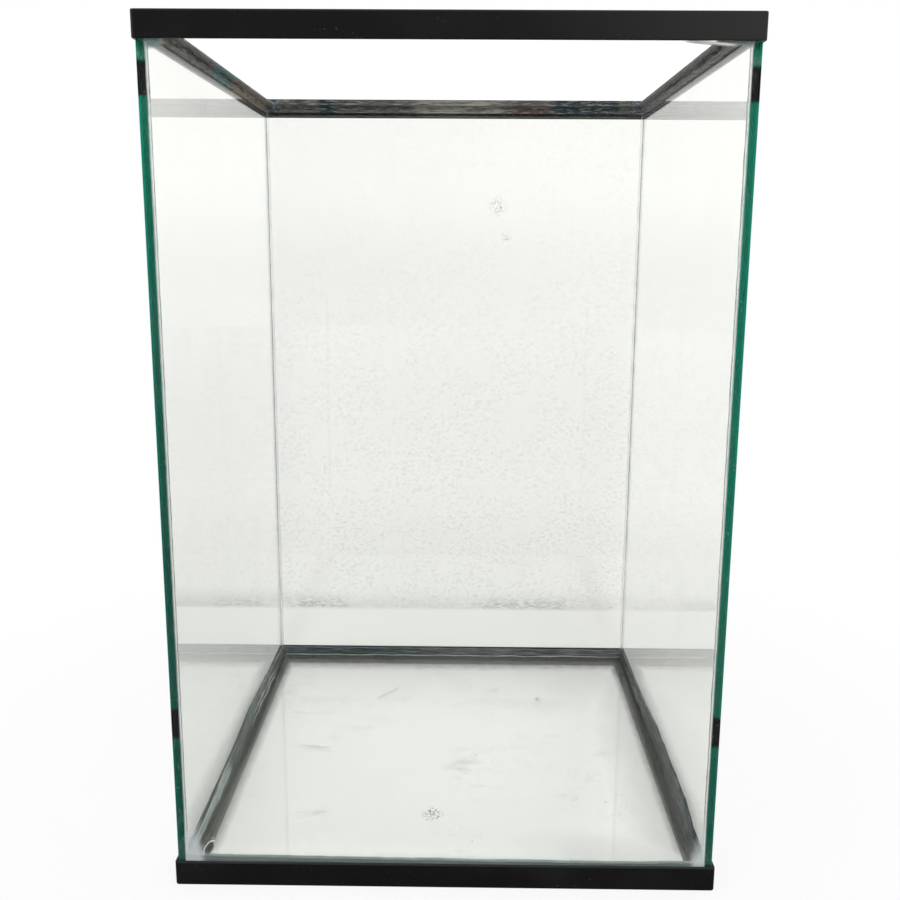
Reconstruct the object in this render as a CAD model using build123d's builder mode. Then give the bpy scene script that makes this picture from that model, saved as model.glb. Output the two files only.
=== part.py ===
from build123d import *
import os

os.makedirs("parts", exist_ok=True)

# A rimmed glass tank, taller than wide. Millimetres, +Z up, the front faces -Y,
# and the origin is at the middle of the footprint, on the surface that it stands on.

# Glass body, over the outer faces of the panes
body_width = 330.0
body_depth = 330.0
overall_height = 512.0
pane_thickness = 4.0
pane_arris = 0.4

# Silicone between the glass edges, and the beads that fill the inside corners
bond_thickness = 0.5
corner_seal_leg = 2.8
floor_seal_leg = 7.5
seal_feather = 0.25
seal_fullness = 0.3

# Frame mouldings: the skirt outside the glass, and the silicone gap between the two
skirt_wall = 1.6
skirt_gap = 0.3
frame_corner_radius = 2.2
frame_edge_radius = 0.7
bond_setback = 2.0

# Top frame
top_skirt_height = 14.7
rim_thickness = 2.0
glass_headroom = 0.4
lip_wall = 1.4
lip_gap = 0.3
lip_depth = 11.0
ledge_drop = 4.0
ledge_wall = 1.6
ledge_width = 5.6
ledge_corner_radius = 1.5

# Bottom frame
bottom_skirt_height = 15.5
flange_top = 5.4
flange_wall = 2.0
flange_reach = 11.5
flange_corner_radius = 1.5
foot_wall = 2.0
bed_thickness = 0.4
rib_wall = 1.5
rib_count = 7
rib_rise = 0.8

# Insets are counted inboard from the outer faces of the glass
skirt_outer = -(skirt_gap + skirt_wall)
skirt_inner = -skirt_gap
lip_outer = pane_thickness + lip_gap
lip_inner = lip_outer + lip_wall
ledge_inner = lip_inner + ledge_width
foot_outer = flange_reach - foot_wall

# Levels above the surface that the tank stands on
flange_underside = flange_top - flange_wall
pane_bottom = flange_top + bed_thickness
floor_level = pane_bottom + pane_thickness
rim_underside = overall_height - rim_thickness
pane_top = rim_underside - glass_headroom
lip_bottom = overall_height - lip_depth
ledge_level = overall_height - ledge_drop
top_skirt_bottom = overall_height - top_skirt_height

# Sizes inside the glass box
pane_height = pane_top - pane_bottom
pane_middle = (pane_top + pane_bottom) / 2
inner_width = body_width - 2 * pane_thickness
inner_depth = body_depth - 2 * pane_thickness
floor_width = inner_width - 2 * bond_thickness
floor_depth = inner_depth - 2 * bond_thickness


def save(piece, name):
    """Label a finished piece and write it under its own name."""
    piece.label = name
    export_step(piece, f"parts/{name}.step")


def rectangle(inset, radius, mode=Mode.ADD):
    """Add the outline of the tank at one inset, square or with rounded corners."""
    width = body_width - 2 * inset
    depth = body_depth - 2 * inset
    if radius > 0:
        RectangleRounded(width, depth, radius, mode=mode)
    else:
        Rectangle(width, depth, mode=mode)


def band(low, high, outer_inset, inner_inset, outer_radius=0.0, inner_radius=0.0):
    """Add a closed band round the tank, between two levels and two insets."""
    with BuildSketch(Plane.XY.offset(low)) as section:
        rectangle(outer_inset, outer_radius)
        rectangle(inner_inset, inner_radius, Mode.SUBTRACT)
    extrude(section.sketch, amount=high - low)


def faces_at(builder, level):
    """Find the flat faces that lie at one level."""
    return builder.faces().filter_by(Axis.Z).filter_by_position(Axis.Z, level, level)


# Top frame: rim over the glass edge, skirt outside it, lip inside it, ledge for a cover
with BuildPart() as top_frame:
    band(rim_underside, overall_height, skirt_outer, lip_inner, frame_corner_radius)
    band(top_skirt_bottom, rim_underside, skirt_outer, skirt_inner, frame_corner_radius)
    band(lip_bottom, rim_underside, lip_outer, lip_inner)
    band(ledge_level - ledge_wall, ledge_level, lip_inner, ledge_inner, 0, ledge_corner_radius)
    rim_radius = min(frame_edge_radius, 0.45 * rim_thickness, 0.45 * skirt_wall)
    fillet(faces_at(top_frame, overall_height).edges(), rim_radius)
    fillet(faces_at(top_frame, top_skirt_bottom)[0].outer_wire().edges(), rim_radius)
    ledge_radius = min(frame_edge_radius, 0.45 * ledge_wall)
    fillet(faces_at(top_frame, ledge_level)[0].inner_wires()[0].edges(), ledge_radius)
    ledge_underside = faces_at(top_frame, ledge_level - ledge_wall)[0]
    fillet(ledge_underside.inner_wires()[0].edges(), ledge_radius)
save(top_frame.part, "top_frame")

# Bottom frame: skirt outside the glass, flange under it, inner foot, and ribs between the two
with BuildPart() as bottom_frame:
    band(0, bottom_skirt_height, skirt_outer, skirt_inner, frame_corner_radius)
    band(flange_underside, flange_top, skirt_inner, flange_reach, 0, flange_corner_radius)
    band(0, flange_underside, foot_outer, flange_reach, 0, flange_corner_radius)
    rib_length = foot_outer - skirt_inner
    rib_inset = (foot_outer + skirt_inner) / 2
    with BuildSketch(Plane.XY.offset(rib_rise)):
        with GridLocations(body_width / (rib_count + 1), body_depth - 2 * rib_inset, rib_count, 2):
            Rectangle(rib_wall, rib_length)
        with GridLocations(body_width - 2 * rib_inset, body_depth / (rib_count + 1), 2, rib_count):
            Rectangle(rib_length, rib_wall)
    extrude(amount=flange_underside - rib_rise)
    skirt_radius = min(frame_edge_radius, 0.45 * skirt_wall)
    fillet(faces_at(bottom_frame, bottom_skirt_height)[0].outer_wire().edges(), skirt_radius)
    skirt_foot = faces_at(bottom_frame, 0).sort_by(lambda face: face.outer_wire().length)[-1]
    fillet(skirt_foot.outer_wire().edges(), skirt_radius)
    flange_radius = min(frame_edge_radius, 0.45 * flange_wall)
    fillet(faces_at(bottom_frame, flange_top)[0].inner_wires()[0].edges(), flange_radius)
save(bottom_frame.part, "bottom_frame")

# Front and back panes, full width, which cover the ends of the side panes
for name, plane_offset in (("front_pane", inner_depth / 2), ("back_pane", -body_depth / 2)):
    with BuildPart() as end_pane:
        with BuildSketch(Plane.XZ.offset(plane_offset)):
            with Locations((0, pane_middle)):
                Rectangle(body_width, pane_height)
        extrude(amount=pane_thickness)
        chamfer(end_pane.edges(), pane_arris)
    save(end_pane.part, name)

# Side panes, which stand between the end panes
for name, plane_offset in (("left_pane", -body_width / 2), ("right_pane", inner_width / 2)):
    with BuildPart() as side_pane:
        with BuildSketch(Plane.YZ.offset(plane_offset)):
            with Locations((0, pane_middle)):
                Rectangle(floor_depth, pane_height)
        extrude(amount=pane_thickness)
        chamfer(side_pane.edges(), pane_arris)
    save(side_pane.part, name)

# Floor pane, between the four walls
with BuildPart() as bottom_pane:
    with BuildSketch(Plane.XY.offset(pane_bottom)):
        Rectangle(floor_width, floor_depth)
    extrude(amount=pane_thickness)
    chamfer(bottom_pane.edges(), pane_arris)
save(bottom_pane.part, "bottom_pane")

# Inside corners of the glass box: name, direction from the middle, and turn of the profile
corners = (
    ("front_left", -1, -1, 0),
    ("front_right", 1, -1, 90),
    ("back_right", 1, 1, 180),
    ("back_left", -1, 1, 270),
)

# Structural silicone between each side pane's ends and the end panes
for name, side, end, turn in corners:
    with BuildPart() as corner_bond:
        middle_x = side * (inner_width + pane_thickness) / 2
        middle_y = end * (inner_depth - bond_thickness) / 2
        with BuildSketch(Plane.XY.offset(pane_bottom)):
            with Locations((middle_x, middle_y)):
                Rectangle(pane_thickness, bond_thickness)
        extrude(amount=pane_height)
    save(corner_bond.part, f"corner_bond_{name}")

# Structural silicone between the floor pane's edges and the walls
for name, end in (("front", -1), ("back", 1)):
    with BuildPart() as floor_bond:
        with BuildSketch(Plane.XY.offset(pane_bottom)):
            with Locations((0, end * (floor_depth + bond_thickness) / 2)):
                Rectangle(inner_width, bond_thickness)
        extrude(amount=pane_thickness)
    save(floor_bond.part, f"floor_bond_{name}")
for name, side in (("left", -1), ("right", 1)):
    with BuildPart() as floor_bond:
        with BuildSketch(Plane.XY.offset(pane_bottom)):
            with Locations((side * (floor_width + bond_thickness) / 2, 0)):
                Rectangle(bond_thickness, floor_depth)
        extrude(amount=pane_thickness)
    save(floor_bond.part, f"floor_bond_{name}")


def seal_section(leg):
    """Draw a tooled bead in section: square corner at the origin, hollow face outside."""
    feather = min(seal_feather, leg / 4)
    hollow = feather + (leg - feather) * seal_fullness
    with BuildLine() as outline:
        Polyline((feather, leg), (0, leg), (0, 0), (leg, 0), (leg, feather))
        ThreePointArc((leg, feather), (hollow, hollow), (feather, leg))
    make_face(outline.edges())


# Beads in the upright inside corners, from the floor pane to the lip of the top frame
corner_seals = []
for name, side, end, turn in corners:
    corner = Vector(side * inner_width / 2, end * inner_depth / 2, floor_level)
    inboard = Vector(1, 0, 0).rotate(Axis.Z, turn)
    with BuildPart() as corner_seal:
        with BuildSketch(Plane(corner, x_dir=inboard, z_dir=(0, 0, 1))):
            seal_section(corner_seal_leg)
        extrude(amount=lip_bottom - floor_level)
    corner_seals.append(corner_seal.part)
    save(corner_seal.part, f"corner_seal_{name}")

# Beads round the floor, mitred where two meet, with room for the upright beads
floor_edges = (
    ("front", -1, -1, 0, inner_width),
    ("right", 1, -1, 90, inner_depth),
    ("back", 1, 1, 180, inner_width),
    ("left", -1, 1, 270, inner_depth),
)
for name, side, end, turn, length in floor_edges:
    start = Vector(side * inner_width / 2, end * inner_depth / 2, floor_level)
    along = Vector(1, 0, 0).rotate(Axis.Z, turn)
    inboard = Vector(0, 1, 0).rotate(Axis.Z, turn)
    with BuildPart() as floor_seal:
        with BuildSketch(Plane(start, x_dir=inboard, z_dir=along)):
            seal_section(floor_seal_leg)
        extrude(amount=length)
        split(bisect_by=Plane(start, z_dir=along - inboard))
        split(bisect_by=Plane(start + along * length, z_dir=-along - inboard))
        add(corner_seals, mode=Mode.SUBTRACT)
    save(floor_seal.part, f"floor_seal_{name}")

# Silicone in the channel of the top frame: over the glass edge and down both its faces
with BuildPart() as top_frame_bond:
    band(pane_top, rim_underside, skirt_inner, lip_outer)
    band(top_skirt_bottom + bond_setback, pane_top, skirt_inner, 0)
    band(lip_bottom, pane_top, pane_thickness, lip_outer)
save(top_frame_bond.part, "top_frame_bond")

# Silicone in the channel of the bottom frame: under the walls and up their outer faces
with BuildPart() as bottom_frame_bond:
    band(flange_top, pane_bottom, skirt_inner, pane_thickness)
    band(pane_bottom, bottom_skirt_height - bond_setback, skirt_inner, 0)
save(bottom_frame_bond.part, "bottom_frame_bond")

# Silicone bed between the flange and the floor pane
with BuildPart() as floor_bed:
    flange_flat = flange_reach - min(frame_edge_radius, 0.45 * flange_wall)
    band(flange_top, pane_bottom, pane_thickness, flange_flat)
save(floor_bed.part, "floor_bed")
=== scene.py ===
import math

import bpy
from mathutils import Euler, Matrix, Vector


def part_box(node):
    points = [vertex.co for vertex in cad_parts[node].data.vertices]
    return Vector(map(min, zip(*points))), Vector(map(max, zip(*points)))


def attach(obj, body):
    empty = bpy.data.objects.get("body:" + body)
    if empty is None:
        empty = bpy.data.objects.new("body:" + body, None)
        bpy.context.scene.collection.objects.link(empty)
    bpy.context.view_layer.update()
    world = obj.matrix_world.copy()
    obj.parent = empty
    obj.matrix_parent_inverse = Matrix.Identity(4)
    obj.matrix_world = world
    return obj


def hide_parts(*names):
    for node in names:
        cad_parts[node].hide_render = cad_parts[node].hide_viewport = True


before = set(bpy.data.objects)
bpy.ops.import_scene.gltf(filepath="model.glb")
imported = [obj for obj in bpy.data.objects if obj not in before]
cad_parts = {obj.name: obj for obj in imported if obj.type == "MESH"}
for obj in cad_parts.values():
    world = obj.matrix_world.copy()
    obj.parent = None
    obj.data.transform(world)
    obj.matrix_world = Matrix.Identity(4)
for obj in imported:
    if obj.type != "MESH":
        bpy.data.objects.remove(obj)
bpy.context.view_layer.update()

# A rimmed glass tank, dressed in metres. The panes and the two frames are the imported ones,
# with better finishes. The silicone beads are modelled here, because real ones are uneven.

MM = 0.001

# Places on the tank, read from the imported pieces
GLASS_LOW, GLASS_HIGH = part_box("front_pane")
FLOOR_LOW, FLOOR_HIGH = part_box("bottom_pane")
TOP_LOW, TOP_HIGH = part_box("top_frame")
SEAL_LOW, SEAL_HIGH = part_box("corner_seal_back_right")
SIDE_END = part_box("left_pane")[1].y
BASE_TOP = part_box("bottom_frame")[1].z

PANE = GLASS_HIGH.y - GLASS_LOW.y
OUTER = GLASS_HIGH.x
INNER = OUTER - PANE
FLOOR = FLOOR_HIGH.z
GLASS_TOP = GLASS_HIGH.z
GLASS_FOOT = GLASS_LOW.z
LIP_FOOT = SEAL_HIGH.z
CORNER_LEG = 0.68 * (SEAL_HIGH.x - SEAL_LOW.x)

# Inner faces of the rim's lip and of the base's flange, as distances from the tank's middle
LIP_FACE = 159.3 * MM
FLANGE = 153.6 * MM

# How far a cut edge's green reaches round its arris, how deep the beads bite into the glass,
# and the height of the old water line
ARRIS = 0.42 * MM
GRIP = 0.05 * MM
WATER_LINE = 54.5 * MM


# Finishes: node arithmetic written as expressions

class Amount:
    """One output in a finish, which adds nodes as it is added, multiplied and compared."""

    def __init__(self, finish, socket):
        self.finish = finish
        self.socket = socket

    def __add__(self, other):
        return self.finish.maths("ADD", self, other)

    def __radd__(self, other):
        return self.finish.maths("ADD", other, self)

    def __sub__(self, other):
        return self.finish.maths("SUBTRACT", self, other)

    def __rsub__(self, other):
        return self.finish.maths("SUBTRACT", other, self)

    def __mul__(self, other):
        return self.finish.maths("MULTIPLY", self, other)

    def __rmul__(self, other):
        return self.finish.maths("MULTIPLY", other, self)

    def __truediv__(self, other):
        return self.finish.maths("DIVIDE", self, other)

    def __abs__(self):
        return self.finish.maths("ABSOLUTE", self)


class Finish:
    """A material under construction, or the world's nodes."""

    def __init__(self, owner):
        owner.use_nodes = True
        self.owner = owner
        self.tree = owner.node_tree
        self.tree.nodes.clear()

    def node(self, kind, settings=None, sockets=None, output=0):
        """Add a node: its settings first, then the values or links of its sockets."""
        made = self.tree.nodes.new("ShaderNode" + kind)
        for name, value in (settings or {}).items():
            setattr(made, name, value)
        for name, value in (sockets or {}).items():
            self.feed(made.inputs[name], value)
        return Amount(self, made.outputs[output]) if made.outputs else None

    def feed(self, socket, value):
        """Link an amount to a socket, or set the socket's own value."""
        if isinstance(value, Amount):
            self.tree.links.new(value.socket, socket)
        elif socket.type == "RGBA":
            socket.default_value = (*value, 1)
        else:
            socket.default_value = value

    def maths(self, operation, *values):
        return self.node("Math", {"operation": operation}, dict(enumerate(values)))

    def least(self, first, second):
        return self.maths("MINIMUM", first, second)

    def most(self, first, *others):
        for other in others:
            first = self.maths("MAXIMUM", first, other)
        return first

    def rise(self, value, low, high):
        """0 below low, 1 above high, smooth between; the other way round if high is lower."""
        settings = {"interpolation_type": "SMOOTHSTEP"}
        if low < high:
            return self.node("MapRange", settings, {0: value, 1: low, 2: high})
        return 1 - self.node("MapRange", settings, {0: value, 1: high, 2: low})

    def band(self, value, low, high, soft):
        """1 between low and high, fading over soft at each side."""
        return self.rise(value, low - soft, low + soft) * self.rise(value, high + soft, high - soft)

    def stretch(self, value, *stretches):
        """1 inside any of the stretches, each written as its two ends and its softness in mm."""
        return self.most(*[self.band(value, *[size * MM for size in ends]) for ends in stretches])

    def length(self, across, along):
        """Length of the line with these two sides."""
        return self.maths("SQRT", across * across + along * along)

    def colour(self, factor, first, second):
        """Blend two colours."""
        settings = {"data_type": "RGBA"}
        return self.node("Mix", settings, {0: factor, 6: first, 7: second}, output=2)

    def place(self):
        """Where on the tank a point is, and the same as three numbers."""
        where = self.node("TexCoord", output="Object")
        return where, *[self.node("SeparateXYZ", None, {0: where}, output=i) for i in range(3)]

    def noise(self, where, size, detail=3.0, stretch=(1, 1, 1), shift=(0, 0, 0), rough=0.5):
        """Uneven pattern of a given grain size, drawn out along the axes where stretch is large."""
        scale = [1 / (size * s) for s in stretch]
        laid = self.node("Mapping", None, {"Vector": where, "Location": shift, "Scale": scale})
        sockets = {"Vector": laid, "Scale": 1.0, "Detail": detail, "Roughness": rough}
        return self.node("TexNoise", None, sockets, output="Fac")

    def bump(self, height, distance, strength=1.0, normal=None):
        """A relief of the given height in metres."""
        sockets = {"Height": height, "Distance": distance, "Strength": strength}
        if normal is not None:
            sockets["Normal"] = normal
        return self.node("Bump", None, sockets)

    def surface(self, **sockets):
        """A Principled shader; a socket's spaces are written as underscores."""
        named = {name.replace("_", " "): value for name, value in sockets.items()}
        return self.node("BsdfPrincipled", None, named)

    def blend(self, factor, first, second):
        """Mix two shaders."""
        return self.node("MixShader", None, {0: factor, 1: first, 2: second})

    def let_lamps_through(self, shader, tint):
        """Shadow rays pass straight through, so that lamps light what is behind the glass."""
        clear = self.node("BsdfTransparent", None, {"Color": tint})
        shadow = self.node("LightPath", output="Is Shadow Ray")
        return self.blend(shadow, shader, clear)

    def done(self, shader):
        self.node("OutputMaterial", None, {"Surface": shader})
        return self.owner


def new_finish(name):
    return Finish(bpy.data.materials.new(name))


# Colours, linear
BLACK_PLASTIC = (0.0085, 0.0085, 0.0085)
DULL_BLACK = (0.0082, 0.0082, 0.0084)
WORN_PLASTIC = (0.013, 0.013, 0.013)
# Lighter plastic for the painted highlights on the frames' top edges
SHEEN_PLASTIC = (0.032, 0.032, 0.032)
DUST = (0.36, 0.35, 0.33)
SMEAR_BROWN = (0.270, 0.220, 0.135)
SMEAR_OLIVE = (0.150, 0.143, 0.105)
SMEAR_TEAL = (0.070, 0.210, 0.215)
SMEAR_NAVY = (0.020, 0.043, 0.060)
SMEAR_BLUE = (0.070, 0.085, 0.120)
SMEAR_RUST = (0.110, 0.048, 0.046)
SMEAR_YELLOW = (0.090, 0.088, 0.050)
SMEAR_GREY = (0.165, 0.160, 0.170)
SMEAR_DARK = (0.110, 0.108, 0.106)
# Pale of the smears, also painted light on the glass where a frame is bonded
SMEAR_PALE_AND_LIGHT = (0.340, 0.325, 0.290)
SMEAR_SCRATCH = (0.360, 0.390, 0.410)
CLEAR_GLASS = (0.966, 0.970, 0.952)
LAMP_TINT = (0.90, 0.93, 0.91)
# Pale of the dust film, also of painted highlights on the curls
FILM_AND_HIGHLIGHT = (0.70, 0.71, 0.68)
EDGE_HIGH = (0.0020, 0.350, 0.225)
EDGE_LOW = (0.0003, 0.140, 0.100)
# Dark of the painted reflections of the frames in the green edges
EDGE_DARK = (0.001, 0.004, 0.004)
EDGE_HAZE = (0.14, 0.34, 0.28)
SILICONE = (0.96, 0.97, 0.96)
SILICONE_DEEP = (0.86, 0.88, 0.87)
SMOKY_SILICONE = (0.36, 0.43, 0.43)
SMOKY_DEEP = (0.13, 0.17, 0.18)
SILICONE_TINT = (0.80, 0.83, 0.83)
# Black of the smoky silicone, also its painted shade and shadow
SMOKE_BLACK_AND_SHADE = (0.014, 0.014, 0.015)
SMOKE_GREY = (0.058, 0.062, 0.060)
SMOKE_PURPLE = (0.090, 0.090, 0.096)
SMOKE_TEAL = (0.070, 0.108, 0.104)
SMOKE_FRONT = (0.250, 0.305, 0.300)
SMOKE_NAVY = (0.032, 0.052, 0.058)
SMOKE_PALE = (0.360, 0.410, 0.390)
# Pale of the painted highlight lines on the bead and the curl
HIGHLIGHT_LINE = (0.620, 0.610, 0.570)
# Purple-grey of the painted shade along the beads' edges
BEAD_EDGE_SHADE = (0.30, 0.28, 0.31)
BED = (0.006, 0.007, 0.008)
CORNER_HAZE = (0.70, 0.75, 0.77)
DAB = (0.150, 0.230, 0.230)
# Colours of grit and dirt, also used for painted shade on the floor pane
GRIT_AND_SHADE = (0.060, 0.060, 0.055)
FLOOR_DIRT_AND_SHADE = (0.110, 0.110, 0.095)

# Stretches of the rim's smears, along the left wall and then along the back: ends and softness, mm
LEFT_BROWN = (32, 146, 6)
LEFT_DARK = (-90, -28, 8)
LEFT_TEAL = (-24, 24, 2)
BACK_PALE = (-32, 40, 8)
BACK_RUST = (44, 82, 9)
BACK_NAVY = ((-115, -101, 2), (84, 156, 6))
BACK_OLIVE = (140, 158, 2)

# Heights of the pale and dark bands on the green edges, the dark ones painted reflections of the
# frames: ends and softness, mm
EDGE_PALE_BAND = (487, 491, 2)
EDGE_FRAME_REFLECTIONS = ((468, 486.5, 1.2), (95, 114.5, 1.2))

# Dried marks on the back pane: thick crust and wipe marks, ends and softness, mm
THICK_CRUST = ((-150, -100, 9), (27, 111, 9))
WIPE_MARKS = ((-114, -111, 1), (117, 120, 1))
WIPE_HEIGHTS = (160, 350, 30)

# Spots of grit and smudges: place on the pane and reach, m
BACK_SPOTS = ((0.038, 0.424, 0.012), (0.046, 0.398, 0.007))
FLOOR_SPOTS = ((-0.009, -0.101, 0.010), (0.075, 0.070, 0.005))
FLOOR_SMUDGES = ((-0.104, -0.092, 0.030), (-0.101, -0.005, 0.024))

# The scratch on the floor pane and the torn curl of silicone, whose highlight and shadow are
# painted, m
SCRATCH_START = (-0.0535, 0.079)
SCRATCH_SLOPE = 1.17
CURL_PLACE = (-0.1512, -0.1428)
CURL_RADII = (3.2 * MM, 8.2 * MM)
CURL_LEAN = (0.42, 1.45)

# How high the floor bead was wiped up each wall: place along the wall and height, mm
BEAD_HEIGHT = {
    "left": ((-161, 6), (-123, 6), (-96, 8), (-59, 10), (18, 15), (90, 11), (161, 6)),
    "right": ((-161, 6), (-134, 6), (-128, 13), (-107, 17), (-6, 17), (58, 12), (161, 8)),
    "front": ((-161, 8.4), (-140, 7.2), (-40, 6.4), (100, 5.6), (161, 6.2)),
    "back": ((-161, 6), (161, 5.6)),
}


def smears(f, x, y, z):
    """Old silicone wiped along the inside of the rim: coloured stretches, streaks and a tear.

    The pattern follows the wall, and runs from the lip's foot up and under the ledge."""
    up = z - LIP_FOOT + f.most(LIP_FACE - f.most(abs(x), abs(y)), 0)
    rim = f.node("CombineXYZ", None, {0: up, 1: x + y})
    fine = f.noise(rim, 1.7 * MM, detail=4, stretch=(0.6, 6, 1), rough=0.65)
    broad = f.noise(rim, 8 * MM, detail=4, stretch=(0.4, 3, 1), shift=(2, 1, 4), rough=0.6)
    patches = f.noise(rim, 30 * MM, detail=3, stretch=(0.3, 1, 1), shift=(1.5, 0.5, 0))
    ledge = f.rise(up, 4.6 * MM, 6.0 * MM)
    back = f.rise(y, 0.150, 0.152)
    left = f.rise(0 - x, 0.150, 0.152)
    corner = f.rise(y, 0.144, 0.150) * f.rise(abs(x), 0.146, 0.151)

    # The side walls: olive and grey below, plain grey above. On the left, also yellow at the
    # front end and coloured stretches.
    tint = f.colour(f.rise(patches, 0.42, 0.56) * (0.3 + 0.7 * left), SMEAR_GREY, SMEAR_OLIVE)
    tint = f.colour(left * f.rise(y, -0.100, -0.125) * 0.7, tint, SMEAR_YELLOW)
    tint = f.colour(left * f.stretch(y, LEFT_BROWN) * (1 - 0.4 * ledge), tint, SMEAR_BROWN)
    tint = f.colour(left * f.stretch(y, LEFT_DARK), tint, SMEAR_DARK)
    tint = f.colour(0.75 * ledge, tint, SMEAR_GREY)
    tint = f.colour(left * f.stretch(y, LEFT_TEAL), tint, SMEAR_TEAL)

    # The back wall: dark grey, paler in the middle, rust, then blue-green towards the right
    tint = f.colour(back, tint, SMEAR_DARK)
    tint = f.colour(back * f.stretch(x, BACK_PALE) * f.rise(broad, 0.34, 0.56), tint, SMEAR_PALE_AND_LIGHT)
    tint = f.colour(back * f.stretch(x, BACK_RUST) * (1 - ledge) * 0.7, tint, SMEAR_RUST)
    tint = f.colour(back * f.stretch(x, *BACK_NAVY), tint, SMEAR_NAVY)
    tint = f.colour(back * f.stretch(x, BACK_OLIVE) * 0.7, tint, SMEAR_OLIVE)

    # Scratched corners, pale and dark streaks, and the long tear under the ledge
    scratch = f.rise(abs(f.noise(rim, 7 * MM, detail=3, shift=(3, 3, 1)) - 0.5), 0.030, 0.012)
    tint = f.colour(corner, tint, f.colour(scratch, SMEAR_BLUE, SMEAR_SCRATCH))
    tint = f.colour(f.rise(fine, 0.54, 0.60) * 0.8, tint, SMEAR_PALE_AND_LIGHT)
    tint = f.colour(f.rise(broad, 0.62, 0.67) * 0.6, tint, SMEAR_SCRATCH)
    bare = f.rise(fine, 0.47, 0.40) * (0.95 - 0.4 * f.most(ledge, back))
    tint = f.colour(bare, tint, BLACK_PLASTIC)
    drift = up - 4.6 * MM + (patches - 0.5) * (14 * MM)
    tear = f.rise(abs(drift), 0.9 * MM, 0.4 * MM) * (1 - back) * f.band(y, -0.130, 0.070, 0.01)
    return f.colour(tear * 0.9, tint, BLACK_PLASTIC), fine


def plastic_finish(name, black, shine, smeared):
    """Satin black moulding: fine grain, rubbed patches and dust, a painted highlight along its top
    edge, and silicone smears inside.
    """
    f = new_finish(name)
    where, x, y, z = f.place()
    rubbed = f.noise(where, 60 * MM, detail=4)
    grain = f.noise(where, 0.6 * MM, detail=2)
    specks = f.rise(f.noise(where, 1.6 * MM, detail=2, shift=(3, 1, 2)), 0.70, 0.76)
    dusty = f.noise(where, 25 * MM, detail=5, shift=(5, 5, 5))
    colour = f.colour(f.rise(rubbed, 0.45, 0.75), black, WORN_PLASTIC)
    colour = f.colour(specks * f.rise(dusty, 0.45, 0.65) * 0.25, colour, DUST)
    roughness = 0.36 + 0.16 * rubbed
    if smeared:
        # Painted highlight: lighter plastic along the top edge and towards the right end, where
        # light falls on the rim
        top_edge = f.rise(z, TOP_HIGH.z - 1.4 * MM, TOP_HIGH.z - 0.4 * MM)
        painted_sheen = f.most(0.9 * top_edge, 0.6 * f.rise(x, 0.02, 0.17))
        colour = f.colour(painted_sheen, colour, SHEEN_PLASTIC)
        inboard = OUTER - f.most(abs(x), abs(y))
        below_rim = f.rise(z, TOP_HIGH.z - 0.2 * MM, TOP_HIGH.z - 0.6 * MM)
        inside = f.rise(inboard, 4.2 * MM, 4.6 * MM) * below_rim
        colour = f.colour(inside, colour, smears(f, x, y, z)[0])
    else:
        # Painted highlight: lighter plastic along the top edge
        top_edge = f.rise(z, BASE_TOP - 0.8 * MM, BASE_TOP - 0.2 * MM)
        colour = f.colour(top_edge, colour, SHEEN_PLASTIC)
    relief = f.bump(grain, 0.02 * MM, 0.7)
    shader = f.surface(
        Base_Color=colour,
        Roughness=roughness,
        Specular_IOR_Level=shine,
        Normal=relief,
    )
    return f.done(shader)


def glass_finish(name, end_mask, film):
    """Clear pane with green ends, and a thin uneven film of dust and dried water on its faces."""
    f = new_finish(name)
    where, x, y, z = f.place()

    # The cut ends are green all the way down, with painted shade: deeper in the lower half and on
    # the left, lighter upwards and to the right. A dark band near each frame is a painted
    # reflection of that frame seen along the pane.
    depth = f.rise(z + 0.25 * f.rise(x, -0.1, 0.1), 0.15, 0.62)
    green = f.colour(depth, EDGE_LOW, EDGE_HIGH)
    mottle = f.noise(where, 5 * MM, detail=5, stretch=(1, 1, 3))
    green = f.colour(f.rise(mottle, 0.62, 0.80) * 0.03, green, EDGE_HAZE)
    ragged = z + 0.006 * x + (mottle - 0.5) * (5 * MM)
    flecks = f.rise(f.noise(where, 1.6 * MM, detail=2), 0.45, 0.60)
    haze = f.stretch(ragged, EDGE_PALE_BAND)
    green = f.colour(haze * (0.25 + 0.6 * flecks), green, EDGE_HAZE)
    # Painted reflections of the frames as dark bands
    green = f.colour(f.stretch(ragged, *EDGE_FRAME_REFLECTIONS), green, EDGE_DARK)

    # Where a frame is bonded on, the silicone joins the pane to the black plastic. Its smears are
    # lightened towards pale there, as painted light in the shaded slot behind the skirt.
    smeared = f.colour(0.7, smears(f, x, y, z)[0], SMEAR_PALE_AND_LIGHT)
    stained_and_lit = f.colour(f.rise(z, 0.20, 0.30), BED, smeared)
    ends, bonded = end_mask(f, x, y, z)
    green = f.colour(f.rise(z, FLOOR + 1 * MM, FLOOR), green, BED)
    painted = f.colour(bonded, green, stained_and_lit)
    edge = f.surface(Base_Color=painted, Roughness=0.3 + 0.2 * mottle, Specular_IOR_Level=0.1)

    amount, colour = film(f, where, x, y, z)
    clear = f.surface(
        Base_Color=CLEAR_GLASS,
        Roughness=0.0,
        IOR=1.5,
        Transmission_Weight=1.0,
    )
    dust = f.surface(Base_Color=colour, Roughness=0.7, Specular_IOR_Level=0.2)
    shader = f.blend(f.most(ends, bonded), f.blend(amount, clear, dust), edge)
    return f.done(f.let_lamps_through(shader, LAMP_TINT))


def end_pane_marks(f, x, y, z):
    """Cut edges of the front and back panes, and where the frames are bonded to them."""
    ends = f.most(f.rise(abs(x), OUTER - ARRIS, OUTER - 0.9 * ARRIS), level_ends(f, z))
    return ends, gripped(f, abs(y), z)


def side_pane_marks(f, x, y, z):
    """Cut edges of the side panes, fainter at the back, and where the frames are bonded to them."""
    upright = f.rise(abs(y), SIDE_END - ARRIS, SIDE_END - 0.9 * ARRIS)
    upright = upright * (0.12 + 0.88 * f.rise(y, 0.1, 0))
    return f.most(upright, level_ends(f, z)), gripped(f, abs(x), z)


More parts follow.
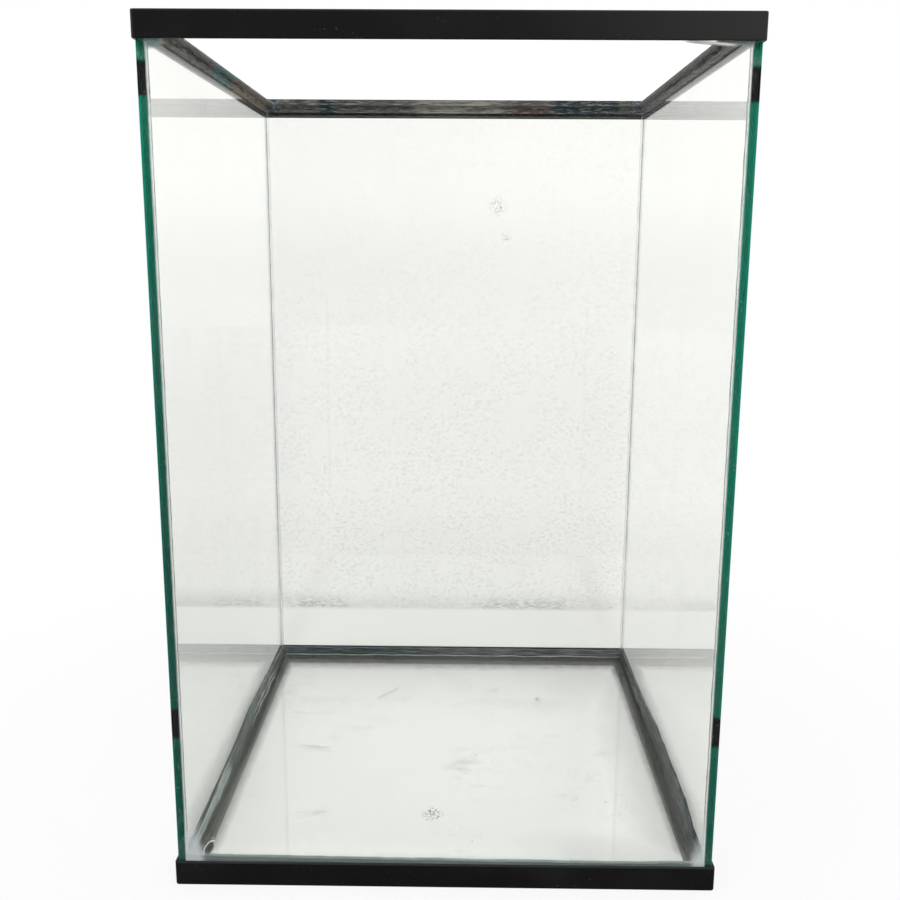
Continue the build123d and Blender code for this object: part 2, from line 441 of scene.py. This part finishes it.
def level_ends(f, z):
    """Cut edges at the top and foot of a wall pane."""
    top = f.rise(z, GLASS_TOP - ARRIS, GLASS_TOP - 0.9 * ARRIS)
    return f.most(top, f.rise(z, GLASS_FOOT + ARRIS, GLASS_FOOT + 0.9 * ARRIS))


def gripped(f, out, z):
    """Outer face of a wall pane behind the skirt of either frame."""
    top = f.rise(z, TOP_LOW.z + 0.5 * MM, TOP_LOW.z + 0.8 * MM)
    foot = f.rise(z, BASE_TOP - 0.5 * MM, BASE_TOP - 0.8 * MM)
    return f.rise(out, OUTER - 0.1 * MM, OUTER - 0.05 * MM) * f.most(top, foot)


def floor_pane_marks(f, x, y, z):
    """Cut edges of the floor pane, and its underside where it is bedded on the flange."""
    reach = f.most(abs(x), abs(y))
    ends = f.rise(reach, FLOOR_HIGH.x - ARRIS, FLOOR_HIGH.x - 0.9 * ARRIS)
    under = f.rise(z, FLOOR_LOW.z + 0.1 * MM, FLOOR_LOW.z + 0.05 * MM)
    return ends, under * f.rise(reach, FLANGE - 0.1 * MM, FLANGE)


def wall_film(f, where, x, y, z):
    """Dust and dried water on a wall: soft clouds, runs down the glass, and small specks."""
    clouds = f.rise(f.noise(where, 90 * MM, detail=4), 0.42, 0.75)
    runs = f.rise(f.noise(where, 7 * MM, detail=4, stretch=(1, 1, 9)), 0.55, 0.80)
    specks = f.rise(f.noise(where, 2.5 * MM, detail=2, shift=(7, 3, 1)), 0.72, 0.78)
    return 0.004 + 0.012 * clouds + 0.03 * runs * clouds + 0.18 * specks * clouds, FILM_AND_HIGHLIGHT


def back_film(f, where, x, y, z):
    """As a wall, with dried drops that thicken downwards to an old water line."""
    amount, colour = wall_film(f, where, x, y, z)
    wet = f.rise(z, WATER_LINE, WATER_LINE + 0.8 * MM)
    lower = f.rise(z, 0.46, 0.12)
    patches = f.rise(f.noise(where, 40 * MM, detail=4, shift=(4, 4, 4)), 0.50, 0.34)
    drops = f.rise(f.noise(where, 2.5 * MM, detail=3, stretch=(1.4, 1, 1), rough=0.6), 0.52, 0.64)
    marks = drops * (0.30 + 0.70 * lower) * (1 - patches) * 0.11

    # A ridged crust just above the water line, which curls up near the corners
    crust = f.noise(where, 5 * MM, detail=4, stretch=(2.8, 1, 0.7), rough=0.65)
    crust = f.rise(abs(crust - 0.5), 0.045, 0.012)
    curled = z - WATER_LINE - 7 * MM * f.rise(abs(x), 149 * MM, 159 * MM)
    ledge = crust * f.rise(curled, 18 * MM, 2 * MM) * f.rise(curled, 0, 1 * MM)
    marks = f.most(marks, ledge * (0.07 + 0.20 * f.stretch(x, *THICK_CRUST)))

    # Two upright wipe marks, and specks in two places
    wiped = f.stretch(x, *WIPE_MARKS) * f.stretch(z, WIPE_HEIGHTS) * f.rise(crust, 0.1, 0.6)
    speck = f.rise(f.noise(where, 1.6 * MM, detail=2), 0.54, 0.60) * near_spots(f, x, z, BACK_SPOTS)
    colour = f.colour(f.most(speck, drops * 0.5, ledge), colour, GRIT_AND_SHADE)
    return f.most(amount, 0.26 * speck, f.most(marks, 0.06 * wiped) * wet), colour


def front_film(f, where, x, y, z):
    """As a wall, with a bluish haze of wiped silicone up from the two bottom corners,
    and dabs squeezed out below the rim at the two top corners."""
    amount, colour = wall_film(f, where, x, y, z)
    inboard = INNER - abs(x)
    amount = amount * (0.25 + 0.75 * f.rise(inboard, 0, 12 * MM))
    uneven = (f.noise(where, 9 * MM, detail=4) - 0.5) * (7 * MM)
    reach = inboard + uneven + 0.013 * x - 3.5 * MM * f.rise(z, 32 * MM, 16 * MM)
    corner = f.rise(inboard, 0, 1 * MM) * f.rise(reach, 10.5 * MM, 3 * MM)
    corner = corner * f.rise(z, 58 * MM, 18 * MM) * (0.42 + 0.25 * f.rise(z, 22 * MM, 14 * MM))
    colour = f.colour(f.rise(corner, 0.02, 0.2), colour, CORNER_HAZE)

    # The dabs, and a thin pale curl beside the right-hand one, a painted highlight on squeezed-out
    # silicone
    low = z + 0.3 * uneven - 0.20 * inboard - 0.006 * x
    dab = f.rise(inboard - 0.016 * x, 15 * MM, 9 * MM) * f.rise(inboard, 0, 1 * MM)
    dab = dab * f.rise(low, 492.0 * MM, 494.4 * MM)
    curl = f.stretch(z + 0.085 * x, (507.5, 508.8, 0.4)) * f.stretch(x, (126, 150, 4))
    colour = f.colour(dab, colour, DAB)
    return f.most(amount, corner, 0.6 * dab, 0.85 * curl), colour


def near_spots(f, across, along, spots):
    """1 at any of the spots on a pane, fading to 0 at each one's reach."""
    marks = []
    for place_across, place_along, reach in spots:
        away = f.length(across - place_across, along - place_along)
        marks.append(f.rise(away, reach, 0.2 * reach))
    return f.most(*marks)


def floor_film(f, where, x, y, z):
    """Marks on the floor pane: clouds, smudges, grit, and painted shade along the beads."""
    clouds = f.rise(f.noise(where, 70 * MM, detail=4), 0.42, 0.75)
    smudges = f.rise(f.noise(where, 12 * MM, detail=5, stretch=(2, 1, 1)), 0.56, 0.76)
    fine = f.noise(where, 1.7 * MM, detail=3, shift=(2, 8, 1))
    grit = f.rise(fine, 0.69, 0.73) * (0.3 + clouds)
    spots = near_spots(f, x, y, FLOOR_SPOTS) * f.rise(fine, 0.53, 0.60)
    start_x, start_y = SCRATCH_START
    scratch = f.rise(abs(y - start_y - SCRATCH_SLOPE * (x - start_x)), 2.2 * MM, 0.8 * MM)
    scratch = scratch * f.stretch(x, (-62, -45, 2))
    grit = f.most(grit, spots, 0.3 * scratch)
    smudges = f.most(smudges * clouds * 0.5, near_spots(f, x, y, FLOOR_SMUDGES) * smudges)

    # Painted shade beside the bead, drawn as dark film on the glass: dark and wide at the back,
    # least at the front. A thinner painted shade reaches far in at the back and on the right.
    inboard = f.least(f.least(FLANGE - abs(x), FLANGE + y), 0.33 * (FLANGE - y))
    inboard = inboard + (f.noise(where, 8 * MM, detail=4) - 0.5) * (3 * MM)
    shade_beside = f.rise(inboard, 12 * MM, -3 * MM) * (0.3 + 0.7 * f.rise(y, -0.148, -0.135))
    to_right = f.rise(x, 0.02, 0.11)
    shade_far_in = f.rise(inboard, 42 * MM, 0) * f.most(f.rise(y, 0.02, 0.14), to_right)
    dirt_and_shade = f.colour(f.rise(y, 0.06, -0.10), GRIT_AND_SHADE, FLOOR_DIRT_AND_SHADE)
    dirt_and_shade = f.colour(f.rise(grit, 0.2, 0.5), dirt_and_shade, GRIT_AND_SHADE)
    dirty_or_shaded = f.rise(f.most(grit, shade_beside, smudges, shade_far_in), 0.02, 0.10)
    colour = f.colour(dirty_or_shaded, FILM_AND_HIGHLIGHT, dirt_and_shade)
    amount = 0.01 + 0.02 * clouds + 0.22 * smudges + (0.06 + 0.06 * to_right) * shade_far_in
    # The painted shade beside the bead is stronger at the back
    shade_beside = shade_beside * (0.58 + 0.27 * f.rise(y, 0.100, 0.130))

    # The end of the torn curl lies on the glass: a painted highlight on its rim and painted shadow
    # inside
    rim, inside = curl_highlight_and_shadow(f, x, y, z)
    amount = f.most(amount, 0.9 * f.most(rim, inside), shade_beside, 0.6 * grit)
    return amount, f.colour(rim, f.colour(inside, colour, SMOKE_BLACK_AND_SHADE), FILM_AND_HIGHLIGHT)


def curl_highlight_and_shadow(f, x, y, z):
    """A curl of silicone torn up at the front end of the left-hand bead, painted and not modelled:
    a painted highlight on its rim and painted shadow inside.

    It leans as it rises, so that its two parts, on the bead and on the glass, meet."""
    height = z - FLOOR
    across = (x - CURL_LEAN[0] * height - CURL_PLACE[0]) / CURL_RADII[0]
    along = (y + CURL_LEAN[1] * height - CURL_PLACE[1]) / CURL_RADII[1]
    away = f.length(across, along)
    rim = f.rise(abs(away - 1), 0.16, 0.08) * f.rise(across - 0.6 * along, 0.20, -0.40)
    return rim, f.rise(away, 1.0, 0.5)


def clear_silicone(f, where, clear, deep, matt):
    """The shader of clear silicone, with cloudy stretches, pores and painted shade along its edge.
    """
    cloudy = f.noise(where, 14 * MM, detail=4)
    pores = f.noise(where, 0.9 * MM, detail=2)
    colour = f.colour(f.rise(cloudy, 0.35, 0.65), clear, deep)
    edge = f.node("Attribute", {"attribute_name": "edge"}, output="Fac")
    # Painted shade: a purple-grey line along the bead's free edge
    colour = f.colour(f.rise(edge, 0.80, 1.0) * (0.4 + 0.6 * cloudy), colour, BEAD_EDGE_SHADE)
    relief = f.bump(cloudy, 0.4 * MM, 0.4, f.bump(pores, 0.03 * MM, 0.4))
    return f.surface(
        Base_Color=colour,
        Roughness=0.03 + matt * cloudy,
        IOR=1.41,
        Transmission_Weight=0.92,
        Normal=relief,
    )


def corner_silicone_finish(name):
    """Silicone in the upright corners: clear, faintly blue-grey, with painted shade along its edge.
    """
    f = new_finish(name)
    shader = clear_silicone(f, f.place()[0], SILICONE, SILICONE_DEEP, 0.03)
    return f.done(f.let_lamps_through(shader, SILICONE_TINT))


def floor_silicone_finish(name):
    """Silicone round the floor: thick and smoky over the black flange, paler and wiped where it
    runs up the glass, with drawn-out painted highlight lines and painted shade along its upper
    edge."""
    f = new_finish(name)
    where, x, y, z = f.place()
    spread = f.node("Attribute", {"attribute_name": "spread"}, output="Fac")
    laid = f.node("CombineXYZ", None, {0: spread * (12 * MM), 1: x + y})
    fine = f.noise(laid, 2.4 * MM, detail=4, stretch=(0.5, 9, 1), rough=0.6)
    broad = f.noise(laid, 12 * MM, detail=4, stretch=(0.5, 1.6, 1), shift=(3, 1, 0))
    front = f.rise(y, -0.1500, -0.1575)
    back = f.rise(y, 0.150, 0.157)

    # Towards the floor: black at the back, grey at the front
    thick = f.colour(f.rise(y, 0.04, -0.08), SMOKE_BLACK_AND_SHADE, SMOKE_GREY)
    right = f.rise(x, 0, 0.1)
    thick = f.colour(right * f.stretch(y, (-170, 30, 20)), thick, SMOKE_PURPLE)

    # Up the glass: teal grey, and pale near the front of the left-hand wall
    wiped = f.colour(f.rise(broad, 0.38, 0.60), SMOKE_TEAL, SMOKE_GREY)
    wiped = f.colour(f.rise(broad, 0.56, 0.66) * 0.7, wiped, SMOKE_NAVY)
    wiped = f.colour((1 - right) * f.stretch(y, (-150, -56, 10)), wiped, SMOKE_PALE)

    # Dark streaks, pale streaks and two drawn-out painted highlight lines over both, brightest past
    # the middle
    uneven = spread + (broad - 0.5) * 0.30
    colour = f.colour(f.rise(uneven, 0.30, 0.46), thick, wiped)
    colour = f.colour(f.rise(fine, 0.47, 0.38) * 0.6, colour, SMOKE_BLACK_AND_SHADE)
    colour = f.colour(f.rise(fine, 0.56, 0.64) * 0.3, colour, SMOKE_PALE)
    line = f.rise(abs(uneven - 0.30), 0.050, 0.020) + f.rise(abs(uneven - 0.50), 0.040, 0.015)
    streaky = f.rise(fine, 0.38, 0.48) * (0.08 + 0.82 * f.stretch(y, (25, 110, 25)))
    colour = f.colour(line * streaky, colour, HIGHLIGHT_LINE)

    # Along the front and back walls it has its own colours, with a painted highlight line along the
    # back
    level = f.colour(f.rise(z, FLOOR + 0.6 * MM, FLOOR + 1.8 * MM), SMOKE_BLACK_AND_SHADE, SMOKE_FRONT)
    colour = f.colour(front, colour, level)
    across = f.colour(f.rise(x, -0.05, 0.02), SMOKE_NAVY, SMOKE_PURPLE)
    across = f.colour(f.rise(fine, 0.53, 0.58) * 0.3, across, SMOKE_PALE)
    across = f.colour(f.rise(fine, 0.46, 0.41) * 0.7, across, SMOKE_BLACK_AND_SHADE)
    across = f.colour(f.rise(spread, 0.30, 0.18), across, SMOKE_BLACK_AND_SHADE)
    # Painted highlight along the back run
    across = f.colour(f.rise(abs(uneven - 0.10), 0.06, 0.02) * 0.8, across, HIGHLIGHT_LINE)
    colour = f.colour(back, colour, across)

    # Painted shade along the upper edge, fainter near the front, and the torn curl's painted
    # highlight and shadow
    upper = f.rise(spread + 0.10 * back, 0.88, 0.95) * (0.8 - 0.6 * f.rise(y, -0.10, -0.14))
    colour = f.colour(upper, colour, SMOKE_BLACK_AND_SHADE)
    rim, inside = curl_highlight_and_shadow(f, x, y, z)
    colour = f.colour(rim, f.colour(inside * 0.9, colour, SMOKE_BLACK_AND_SHADE), HIGHLIGHT_LINE)

    relief = f.bump(broad, 0.5 * MM, 0.5, f.bump(fine, 0.1 * MM, 0.5))
    smoky = f.surface(
        Base_Color=colour,
        Roughness=0.22 + 0.2 * fine,
        Specular_IOR_Level=0.18,
        Normal=relief,
    )
    clear = clear_silicone(f, where, SMOKY_SILICONE, SMOKY_DEEP, 0.10)
    share = 0.92 - 0.35 * f.rise(uneven, 0.80, 1.0) * (1 - front)
    return f.done(f.let_lamps_through(f.blend(share, clear, smoky), SILICONE_TINT))


def pressed_silicone_finish(name):
    """Silicone squeezed flat between glass and black plastic: streaks, tears and stains."""
    f = new_finish(name)
    x, y, z = f.place()[1:]
    tint, streaks = smears(f, x, y, z)
    colour = f.colour(f.rise(z, 0.20, 0.30), BED, tint)
    relief = f.bump(streaks, 0.1 * MM, 0.6)
    shader = f.surface(Base_Color=colour, Roughness=0.25 + 0.3 * streaks, Normal=relief)
    return f.done(shader)


def bond_finish(name):
    """Thin structural silicone between two panes: nearly clear, with small bubbles."""
    f = new_finish(name)
    where = f.place()[0]
    bubbles = f.rise(f.noise(where, 1.8 * MM, detail=2), 0.66, 0.72)
    cloudy = f.noise(where, 20 * MM, detail=3)
    colour = f.colour(cloudy, SILICONE, SILICONE_DEEP)
    shader = f.surface(
        Base_Color=colour,
        Roughness=0.3,
        Alpha=0.003 * cloudy + 0.10 * bubbles,
    )
    return f.done(shader)


# Modelling helpers

def start_clean():
    """Leave edit mode and deselect everything."""
    if bpy.context.mode != "OBJECT":
        bpy.ops.object.mode_set(mode="OBJECT")
    bpy.ops.object.select_all(action="DESELECT")


def choose_edges(piece, wanted):
    """In edit mode, select only the edges that wanted accepts, by where their two ends are."""
    bpy.ops.object.mode_set(mode="OBJECT")
    mesh = piece.data
    for group in (mesh.vertices, mesh.edges, mesh.polygons):
        group.foreach_set("select", [False] * len(group))
    corners = [v.co for v in mesh.vertices]
    for e in mesh.edges:
        e.select = wanted(corners[e.vertices[0]], corners[e.vertices[1]])
    bpy.ops.object.mode_set(mode="EDIT")
    bpy.ops.mesh.select_mode(type="EDGE")


def subdivide(piece, wanted, *cuts):
    """Cut up the edges that wanted accepts, once for each number of cuts."""
    for number in cuts:
        choose_edges(piece, wanted)
        bpy.ops.mesh.subdivide(number_cuts=number)
    bpy.ops.object.mode_set(mode="OBJECT")


def within(share):
    """A share held between 0 and 1."""
    return max(0.0, min(1.0, share))


def from_middle(c):
    """How far a place is from the tank's middle, towards its nearest wall."""
    return max(abs(c.x), abs(c.y))


def near(a, b, slack=0.01 * MM):
    return abs(a - b) < slack


def weigh(piece, name, share):
    """Give a piece a vertex group whose weights come from a rule on each vertex's place."""
    group = piece.vertex_groups.new(name=name)
    for v in piece.data.vertices:
        group.add([v.index], within(share(v.co)), "REPLACE")
    return name


def push(piece, direction, strength, group, grain=None):
    """Move vertices along a direction by their weights, unevenly if a grain size is given."""
    change = piece.modifiers.new("push", "DISPLACE")
    change.direction = direction
    change.strength = strength
    change.vertex_group = group
    change.mid_level = 0.0
    if grain:
        clouds = bpy.data.textures.new("uneven", "CLOUDS")
        clouds.noise_scale = grain
        clouds.noise_depth = 2
        change.texture = clouds
        change.texture_coords = "LOCAL"
        change.mid_level = 0.5
    bpy.context.view_layer.objects.active = piece
    bpy.ops.object.modifier_apply(modifier=change.name)


def mark(piece, name, share):
    """Store a number on each vertex for the finish to read, such as how near an edge it is."""
    layer = piece.data.attributes.new(name, "FLOAT", "POINT")
    layer.data.foreach_set("value", [share(v.co) for v in piece.data.vertices])


def finish_piece(piece, material):
    """Close a modelled piece: outward faces, smooth shading, finish and body."""
    start_clean()
    piece.select_set(True)
    bpy.context.view_layer.objects.active = piece
    bpy.ops.object.transform_apply(location=True, rotation=True, scale=True)
    bpy.ops.object.mode_set(mode="EDIT")
    bpy.ops.mesh.select_all(action="SELECT")
    bpy.ops.mesh.normals_make_consistent(inside=False)
    bpy.ops.object.mode_set(mode="OBJECT")
    bpy.ops.object.shade_smooth_by_angle(angle=math.radians(60))
    piece.data.materials.clear()
    piece.data.materials.append(material)
    piece.vertex_groups.clear()
    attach(piece, "root")
    piece.select_set(False)


def corner_bead(name, side, end, material):
    """Upright bead in one inside corner: a tooled fillet with uneven edges."""
    start_clean()
    leg = CORNER_LEG
    feather = 0.25 * MM
    uneven = 0.7 * MM
    glass = INNER + GRIP
    foot = FLOOR + 0.3 * MM
    height = LIP_FOOT - foot
    centre = (side * (glass - leg / 2), end * (glass - leg / 2), foot + height / 2)
    bpy.ops.mesh.primitive_cube_add(size=1, location=centre)
    piece = bpy.context.object
    piece.name = name
    bpy.ops.transform.resize(value=(leg, leg, height))
    bpy.ops.object.transform_apply(location=True, rotation=True, scale=True)

    def free_edge(a, b):
        return all(near(abs(place), glass - leg) for place in (a.x, a.y, b.x, b.y))

    choose_edges(piece, free_edge)
    bpy.ops.mesh.bevel(offset=leg - feather, segments=6, profile=0.2, affect="EDGES")
    subdivide(piece, lambda a, b: abs(a.z - b.z) > 1 * MM, 11, 11)
    mark(piece, "edge", lambda c: max(glass - abs(c.x), glass - abs(c.y)) / leg)
    along_x = weigh(piece, "along_x", lambda c: (glass - abs(c.x)) / leg)
    push(piece, "X", uneven, along_x, grain=14 * MM)
    along_y = weigh(piece, "along_y", lambda c: (glass - abs(c.y)) / leg)
    push(piece, "Y", uneven, along_y, grain=19 * MM)
    finish_piece(piece, material)
    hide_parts(name.replace("bead", "seal"))


def floor_bead(material):
    """One bead round the floor pane: a tooled ring whose upper edge runs up the glass unevenly."""
    start_clean()
    reach = INNER + GRIP
    foot = FLOOR - GRIP
    leg_in = 5.8 * MM
    leg_up = 5.2 * MM
    feather = 0.3 * MM
    bpy.ops.mesh.primitive_plane_add(size=2 * reach, location=(0, 0, foot))
    piece = bpy.context.object
    piece.name = "floor_bead"
    bpy.ops.object.transform_apply(location=True, rotation=True, scale=True)
    bpy.ops.object.mode_set(mode="EDIT")
    bpy.ops.mesh.select_all(action="SELECT")
    bpy.ops.mesh.inset(thickness=leg_in, depth=0)
    bpy.ops.mesh.delete(type="FACE")
    bpy.ops.mesh.select_all(action="SELECT")
    bpy.ops.mesh.extrude_region_move(TRANSFORM_OT_translate={"value": (0, 0, leg_up)})
    bpy.ops.mesh.select_all(action="SELECT")
    bpy.ops.mesh.normals_make_consistent(inside=False)
    inner = reach - leg_in
    top = foot + leg_up

    def inner_corner(a, b):
        return near(abs(a.x), inner) and near(abs(a.y), inner) and abs(a.z - b.z) > 1 * MM

    choose_edges(piece, inner_corner)
    bpy.ops.mesh.bevel(offset=6 * MM, segments=5, affect="EDGES")

    def inner_top(a, b):
        level = near(a.z, top) and near(b.z, top)
        return level and max(from_middle(a), from_middle(b)) < inner + 0.01 * MM

    choose_edges(piece, inner_top)
    bpy.ops.mesh.bevel(offset=leg_in - feather, segments=8, profile=0.2, affect="EDGES")

    def lengthwise(a, b):
        return from_middle(a - b) > 15 * MM

    subdivide(piece, lengthwise, 12, 11)

    def spread(c):
        """0 at the bead's edge on the floor, 1 at its edge on the wall."""
        return 0.5 + 0.5 * (c.z - foot) / leg_up - 0.5 * (reach - from_middle(c)) / leg_in

    mark(piece, "spread", spread)

    # Its upper edge goes up to the wiped heights, and is ragged
    highest = max(height for along in BEAD_HEIGHT.values() for _, height in along)
    extra = highest * MM - leg_up
    up = weigh(piece, "up", lambda c: (c.z - foot) / leg_up * (wiped_height(c) - leg_up) / extra)
    push(piece, "Z", extra, up)
    ragged = weigh(piece, "ragged", lambda c: (c.z - foot) / (30 * MM))
    push(piece, "Z", 5 * MM, ragged, grain=12 * MM)

    # Its edge on the floor wanders, and is narrower on two stretches
    def inward(across, along):
        """0 at the wall and 1 at the edge on the floor, and 0 on the runs along other walls."""
        share = (reach - abs(across)) / leg_in
        return share if abs(across) > abs(along) and reach - abs(along) > leg_in else 0.0

    def narrow_right(c):
        """The right-hand run is narrow from the back to past the middle."""
        return inward(c.x, c.y) * within((c.y + 0.09) / 0.04) if c.x > 0 else 0.0

    def narrow_left(c):
        """The left-hand run narrows towards its front end."""
        return inward(c.x, c.y) * within((-0.09 - c.y) / 0.03) if c.x < 0 else 0.0

    push(piece, "X", 2.5 * MM, weigh(piece, "narrow_right", narrow_right))
    push(piece, "X", -1.6 * MM, weigh(piece, "narrow_left", narrow_left))
    side = weigh(piece, "side", lambda c: 0.5 * inward(c.x, c.y))
    push(piece, "X", 3.0 * MM, side, grain=16 * MM)
    end = weigh(piece, "end", lambda c: 0.5 * inward(c.y, c.x))
    push(piece, "Y", 3.0 * MM, end, grain=16 * MM)
    finish_piece(piece, material)
    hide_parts("floor_seal_front", "floor_seal_back", "floor_seal_left", "floor_seal_right")


def wiped_height(c):
    """Height of the floor bead on the nearest wall, between the places that are listed."""
    if abs(c.x) > abs(c.y):
        wall, along = ("right" if c.x > 0 else "left"), c.y / MM
    else:
        wall, along = ("back" if c.y > 0 else "front"), c.x / MM
    places = BEAD_HEIGHT[wall]
    for (start, low), (end, high) in zip(places, places[1:]):
        if along <= end:
            share = max(0, (along - start) / (end - start))
            return (low + (high - low) * share) * MM
    return places[-1][1] * MM


def dress_cad():
    """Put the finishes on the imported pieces."""
    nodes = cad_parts
    finishes = {
        "top_frame": plastic_finish("top_frame_plastic", BLACK_PLASTIC, 0.12, smeared=True),
        "bottom_frame": plastic_finish("bottom_frame_plastic", DULL_BLACK, 0.01, smeared=False),
        "top_frame_bond": pressed_silicone_finish("rim_silicone"),
        "bottom_frame_bond": pressed_silicone_finish("base_silicone"),
        "floor_bed": pressed_silicone_finish("bed_silicone"),
        "bottom_pane": glass_finish("floor_glass", floor_pane_marks, floor_film),
    }
    front_glass = glass_finish("front_glass", end_pane_marks, front_film)
    back_glass = glass_finish("back_glass", end_pane_marks, back_film)
    side_glass = glass_finish("side_glass", side_pane_marks, wall_film)
    bond = bond_finish("joint_silicone")
    for end in ("front", "back"):
        finishes[f"{end}_pane"] = front_glass if end == "front" else back_glass
        finishes[f"floor_bond_{end}"] = bond
        for side in ("left", "right"):
            finishes[f"corner_bond_{end}_{side}"] = bond
    for side in ("left", "right"):
        finishes[f"{side}_pane"] = side_glass
        finishes[f"floor_bond_{side}"] = bond
    for name, material in finishes.items():
        for slot in nodes[name].material_slots:
            slot.material = material


# Stage: how much light the dark room takes away, the directions over which it begins, the soft
# light all round, and the floor's two pale tones

ROOM_DIM = 0.97
ROOM_START = (-0.45, -0.75)
WORLD_LIGHT = 0.62
WHITE = (1, 1, 1)
FLOOR_TONES = ((0.86, 0.86, 0.85), (0.90, 0.90, 0.89))


def white_seen(f):
    """1 for what the camera, a mirror or clear glass sees straight, 0 for light on the object."""
    seen = f.node("LightPath", output="Is Camera Ray")
    for path in ("Is Glossy Ray", "Is Transmission Ray"):
        seen = f.most(seen, f.node("LightPath", output=path))
    return seen * (1 - f.least(f.node("LightPath", output="Diffuse Depth"), 1.0))


def mirrored(f):
    """1 on a path that some surface has mirrored, 0 on the others."""
    return f.least(f.node("LightPath", output="Glossy Depth"), 1.0)


def seen_through(f):
    """1 for what is seen through glass."""
    return f.node("LightPath", output="Is Transmission Ray")


def make_world():
    """Plain soft light all round, and a white background, with the dark room behind the camera
    kept for reflections only."""
    world = bpy.data.worlds.new("studio")
    bpy.context.scene.world = world
    f = Finish(world)
    light = f.node("Background", None, {"Color": WHITE, "Strength": WORLD_LIGHT})
    way = f.node("TexCoord", output="Generated")
    aside, ahead, up = [f.node("SeparateXYZ", None, {0: way}, output=i) for i in range(3)]
    room = mirrored(f) * f.rise(ahead, *ROOM_START)

    # Seen through the glass it is brighter, more so upwards and to the right
    tilt = 0.07 * f.rise(aside, -0.28, 0.28) - 0.035
    lift = 1 + seen_through(f) * (0.095 + 0.11 * f.rise(up, -0.04, 0.07) + tilt)
    brightness = lift * (1 - ROOM_DIM * room)
    white = f.node("Background", None, {"Color": WHITE, "Strength": brightness})
    f.node("OutputWorld", None, {"Surface": f.blend(white_seen(f), light, white)})


def make_floor():
    """Pale floor that keeps the tank's shadow and fades to the background further out."""
    start_clean()
    bpy.ops.mesh.primitive_circle_add(vertices=96, radius=4.0, fill_type="NGON")
    floor = bpy.context.object
    floor.name = "studio_floor"
    f = new_finish("studio_floor_paint")
    where, x, y, z = f.place()
    away = f.length(x, y)
    paint = f.surface(
        Base_Color=f.colour(f.noise(where, 0.12, detail=5), *FLOOR_TONES),
        Roughness=0.8,
        Specular_IOR_Level=0.2,
    )

    # The dark room begins in front of the tank
    in_front = f.rise(y, GLASS_LOW.y, GLASS_LOW.y - 0.05)
    room = mirrored(f) * in_front * f.rise(y / away, *ROOM_START)

    # Seen through the glass the floor is brighter under the tank and farther off, darker on the
    # left and brighter on the right of the view, with a line of painted shade some way behind the
    # tank
    aside = x / (f.most(y, -0.2) + 0.70)
    left = f.rise(aside, -0.15, -0.24)
    right = f.rise(aside, 0.14, 0.20)
    close = f.rise(away, 0.60, 0.35)
    lift = 0.05 * f.rise(away, 0.25, 0.45) + 0.05 * f.rise(away, 0.9, 3.5)
    lift = lift + 0.09 * f.rise(away, 0.14, 0.03)
    lift = lift - (0.10 + 0.03 * close) * left + (0.05 + 0.05 * close) * right
    line = f.rise(y, 0.375, 0.300) * f.rise(y, 0.296, 0.303) * f.rise(abs(x), 0.50, 0.35)
    lift = lift - line * (0.20 + 0.10 * left - 0.12 * right)
    through = seen_through(f)
    brightness = (1 + through * lift) * (1 - ROOM_DIM * room)
    white = f.node("Emission", None, {"Color": WHITE, "Strength": brightness})

    # Its shadow is strongest near the tank, and reaches farther out where it is seen through glass
    near_share = 0.86 - 0.24 * through
    share = near_share + (1 - near_share) * f.rise(away / (1 + 0.6 * through), 0.20, 0.55)
    share = white_seen(f) * f.most(share, room)
    floor.data.materials.append(f.done(f.blend(share, paint, white)))


def softbox(name, place, aim, size, power):
    """A large soft lamp, unseen itself."""
    data = bpy.data.lights.new(name, "AREA")
    data.shape = "RECTANGLE"
    data.size, data.size_y = size
    data.energy = power
    lamp = bpy.data.objects.new(name, data)
    bpy.context.scene.collection.objects.link(lamp)
    lamp.location = place
    lamp.rotation_euler = (Vector(aim) - Vector(place)).to_track_quat("-Z", "Y").to_euler()
    lamp.visible_camera = False
    lamp.visible_transmission = False


def make_lights():
    middle = (0, 0, 0.25)
    softbox("key", (0.8, -1.5, 1.45), middle, (0.7, 0.5), 13)
    softbox("fill", (-1.6, -0.9, 1.0), middle, (1.2, 1.2), 7)
    softbox("back", (0.2, 1.8, 1.6), middle, (1.4, 0.8), 7)


def make_camera():
    """The photograph's viewpoint: just above the middle, looking a little down."""
    data = bpy.data.cameras.new("photo_view")
    data.sensor_width = 36
    data.lens = 38.716
    data.shift_x = -0.00473
    data.shift_y = -0.02339
    camera = bpy.data.objects.new("photo_view", data)
    camera.location = (0.00942, -0.70240, 0.39248)
    camera.rotation_euler = Euler([math.radians(a) for a in (79.1314, -0.3470, 0.5987)])
    bpy.context.scene.collection.objects.link(camera)
    bpy.context.scene.camera = camera


make_camera()
make_world()
make_lights()
make_floor()
dress_cad()
corner_silicone = corner_silicone_finish("corner_silicone")
for end_name, end in (("front", -1), ("back", 1)):
    for side_name, side in (("left", -1), ("right", 1)):
        corner_bead(f"corner_bead_{end_name}_{side_name}", side, end, corner_silicone)
floor_bead(floor_silicone_finish("floor_silicone"))

bpy.context.scene.view_settings.view_transform = "Standard"
